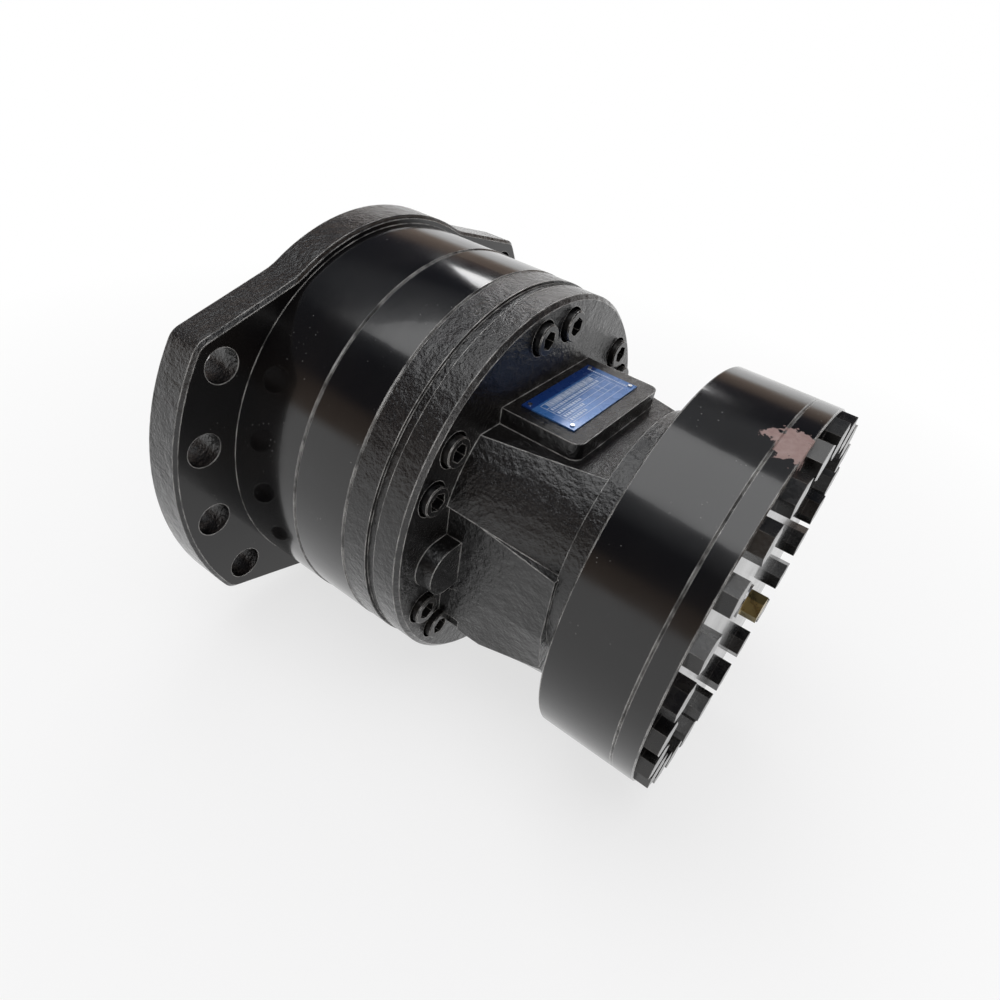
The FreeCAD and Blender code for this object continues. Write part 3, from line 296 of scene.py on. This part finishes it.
MATERIALS = {
    "case_paint": black_paint("case_paint", cast="rim", specks=0.5, chip=True),
    "cast_paint": black_paint("cast_paint", cast="all", specks=0.25),
    "hub_paint": black_paint("hub_paint"),
    "black_screw": black_oxide("black_screw"),
    "black_bolt": black_oxide("black_bolt", (0.16, 0.15, 0.14), 0.7),
    "bright_steel": metal("bright_steel", (0.62, 0.62, 0.63), 0.28),
    "bearing_steel": metal("bearing_steel", (0.56, 0.57, 0.58), 0.18),
    "spring_steel": metal("spring_steel", (0.25, 0.25, 0.27), 0.3),
    "machined_iron": metal("machined_iron", (0.33, 0.33, 0.34), 0.35),
    "friction_lining": metal("friction_lining", (0.22, 0.17, 0.12), 0.5),
    "seal_rubber": rubber("seal_rubber"),
    "plug_brass": metal("plug_brass", (0.42, 0.33, 0.14), 0.3, dirt=(0.06, 0.05, 0.03)),
    "plate_blue": plate_blue("plate_blue"),
}
slot_of = {s["node"]: s["material_slot"] for s in frame["record"]["subparts"]}
for name, node in nodes.items():
    node.data.materials.clear()
    node.data.materials.append(MATERIALS[slot_of[name]])


# ------------------------------------------------------------ plate print


def print_box(faces, points, low, high):
    """One printed rectangle, given by its (x, y) corners on the plate."""
    first = len(points)
    top = PLATE_TOP + PRINT_THICKNESS
    for x, y in ((low[0], low[1]), (high[0], low[1]), (high[0], high[1]), (low[0], high[1])):
        points.append((x, y, top))
    faces.append((first, first + 1, first + 2, first + 3))


def make_print():
    """Field lines, bars and rows of dashes: a generic plate with nothing to read."""
    points, faces = [], []
    line, gap = 0.0003, 0.0004
    near, far = -0.029, 0.027
    row_count, row_pitch, row_inset = 6, 0.0042, 0.0015
    rows = [HEADER_END + row_inset + step * row_pitch for step in range(row_count)]
    columns = (0.012, 0.0165)
    bar_widths, bar_gaps = (0.0004, 0.0007, 0.0012), (gap, 0.0006)
    bars_start, bars_end = near + 0.004, far - 0.006
    dash_start, dash_gap = near + 0.002, 0.0009
    dash_ends = ((1, 0.022), (2, -0.004), (3, -0.007), (4, -0.012))
    dash_low, dash_high = 0.0012, 0.0031
    edge_margin, edge_low, edge_high, edge_gap = 0.004, 0.0025, 0.0038, 0.0005
    for place in rows:
        print_box(faces, points, (place, near), (place + line, far))
    for y in (near, far - line):
        print_box(faces, points, (rows[0], y), (rows[-1] + line, y + line))
    for y in columns:
        print_box(faces, points, (rows[2], y), (rows[4], y + line))
    y = bars_start
    while y < bars_end:
        width = random.choice(bar_widths)
        print_box(faces, points, (rows[0] + line + gap, y), (rows[1] - gap, y + width))
        y += width + random.choice(bar_gaps)
    for row, reach in dash_ends:
        y = dash_start
        while y < reach:
            width = random.uniform(0.0011, 0.0019)
            print_box(faces, points, (rows[row] + dash_low, y), (rows[row] + dash_high, y + width))
            y += width + dash_gap
    x = HEADER_END - edge_margin
    while x < PLATE_END - edge_margin:
        width = random.uniform(0.0006, 0.0011)
        print_box(faces, points, (x, far + edge_low), (x + width, far + edge_high))
        x += width + edge_gap
    mesh = bpy.data.meshes.new("plate_print")
    mesh.from_pydata(points, [], faces)
    mesh.materials.append(white_print("plate_print"))
    piece = bpy.data.objects.new("plate_print", mesh)
    bpy.context.scene.collection.objects.link(piece)
    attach(piece, "case")


make_print()

# ------------------------------------------------------------ stage


def add_lamp(name, place, aim, size, power):
    data = bpy.data.lights.new(name, "AREA")
    data.shape = "RECTANGLE"
    data.size, data.size_y = size
    data.energy = power
    lamp = bpy.data.objects.new(name, data)
    bpy.context.scene.collection.objects.link(lamp)
    lamp.location = place
    lamp.rotation_euler = (Vector(aim) - Vector(place)).to_track_quat("-Z", "Y").to_euler()


def seen_by_lens(tree):
    """1 for camera, glossy and transmission rays, so that gloss shows the backdrop too."""
    rays = tree.nodes.new("ShaderNodeLightPath")
    total = rays.outputs["Is Camera Ray"]
    for name in ("Is Glossy Ray", "Is Transmission Ray"):
        either = tree.nodes.new("ShaderNodeMath")
        either.operation = "MAXIMUM"
        tree.links.new(total, either.inputs[0])
        tree.links.new(rays.outputs[name], either.inputs[1])
        total = either.outputs[0]
    return total


# Colours from the horizon, at 0.5, up to straight overhead, at 1.
SKY = [
    (0.50, (1.0, 1.0, 1.0)), (0.56, (1.0, 1.0, 1.0)), (0.60, (0.42, 0.33, 0.27)),
    (0.68, (0.30, 0.23, 0.19)), (0.72, (0.06, 0.06, 0.075)), (0.84, (0.05, 0.055, 0.07)),
    (0.90, (0.35, 0.36, 0.38)), (1.0, (0.42, 0.43, 0.45)),
]


def make_world():
    """A white backdrop at the horizon under a dim ceiling, the same for every ray."""
    world = bpy.data.worlds.new("studio")
    bpy.context.scene.world = world
    world.use_nodes = True
    tree = world.node_tree
    tree.nodes.clear()
    output = tree.nodes.new("ShaderNodeOutputWorld")
    glow = tree.nodes.new("ShaderNodeBackground")
    place = tree.nodes.new("ShaderNodeTexCoord")
    split = tree.nodes.new("ShaderNodeSeparateXYZ")
    height = tree.nodes.new("ShaderNodeMapRange")
    height.inputs["From Min"].default_value = -1.0
    ramp = tree.nodes.new("ShaderNodeValToRGB")
    stops = ramp.color_ramp.elements
    while len(stops) < len(SKY):
        stops.new(0.5)
    for stop, (position, colour) in zip(stops, SKY):
        stop.position = position
        stop.color = colour + (1.0,)
    tree.links.new(place.outputs["Generated"], split.inputs[0])
    tree.links.new(split.outputs[2], height.inputs["Value"])
    tree.links.new(height.outputs[0], ramp.inputs[0])
    tree.links.new(ramp.outputs[0], glow.inputs["Color"])
    tree.links.new(glow.outputs[0], output.inputs["Surface"])


def make_floor():
    """A plain floor that keeps the shadow near the part and turns to pure white further out."""
    low = cad_box[0].z - FLOOR_GAP
    mesh = bpy.data.meshes.new("floor")
    half = FLOOR_HALF
    corners = [(-half, -half, low), (half, -half, low), (half, half, low), (-half, half, low)]
    mesh.from_pydata(corners, [], [(0, 1, 2, 3)])
    floor = bpy.data.objects.new("floor", mesh)
    bpy.context.scene.collection.objects.link(floor)
    material = bpy.data.materials.new("floor_white")
    material.use_nodes = True
    tree = material.node_tree
    tree.nodes.clear()
    output = tree.nodes.new("ShaderNodeOutputMaterial")
    diffuse = tree.nodes.new("ShaderNodeBsdfDiffuse")
    diffuse.inputs["Color"].default_value = (0.85, 0.85, 0.85, 1)
    glow = tree.nodes.new("ShaderNodeEmission")
    glow.inputs["Strength"].default_value = 1.0
    mix = tree.nodes.new("ShaderNodeMixShader")
    place = tree.nodes.new("ShaderNodeNewGeometry")
    away = tree.nodes.new("ShaderNodeVectorMath")
    away.operation = "DISTANCE"
    away.inputs[1].default_value = FLOOR_CENTRE + (low,)
    fade = tree.nodes.new("ShaderNodeMapRange")
    fade.inputs["From Min"].default_value = FADE_START
    fade.inputs["From Max"].default_value = FADE_END
    fade.inputs["To Min"].default_value = 0.7
    fade.inputs["To Max"].default_value = 1.0
    share = tree.nodes.new("ShaderNodeMath")
    share.operation = "MULTIPLY"
    tree.links.new(place.outputs["Position"], away.inputs[0])
    tree.links.new(away.outputs["Value"], fade.inputs["Value"])
    tree.links.new(fade.outputs[0], share.inputs[1])
    tree.links.new(seen_by_lens(tree), share.inputs[0])
    tree.links.new(share.outputs[0], mix.inputs[0])
    tree.links.new(diffuse.outputs[0], mix.inputs[1])
    tree.links.new(glow.outputs[0], mix.inputs[2])
    tree.links.new(mix.outputs[0], output.inputs["Surface"])
    mesh.materials.append(material)


def make_camera():
    data = bpy.data.cameras.new("camera")
    data.lens = CAMERA_LENS
    data.sensor_width = 36.0
    data.clip_start = 0.01
    data.clip_end = 200.0
    camera = bpy.data.objects.new("camera", data)
    bpy.context.scene.collection.objects.link(camera)
    right = Vector(CAMERA_RIGHT).normalized()
    back = Vector(CAMERA_BACK).normalized()
    up = back.cross(right).normalized()
    right = up.cross(back)
    turn = Matrix((right, up, back)).transposed().to_4x4()
    camera.matrix_world = Matrix.Translation(Vector(CAMERA_PLACE)) @ turn
    bpy.context.scene.camera = camera


make_world()
make_floor()
make_camera()
for lamp in LAMPS:
    add_lamp(*lamp)

settings = bpy.context.scene.view_settings
settings.view_transform = "Standard"
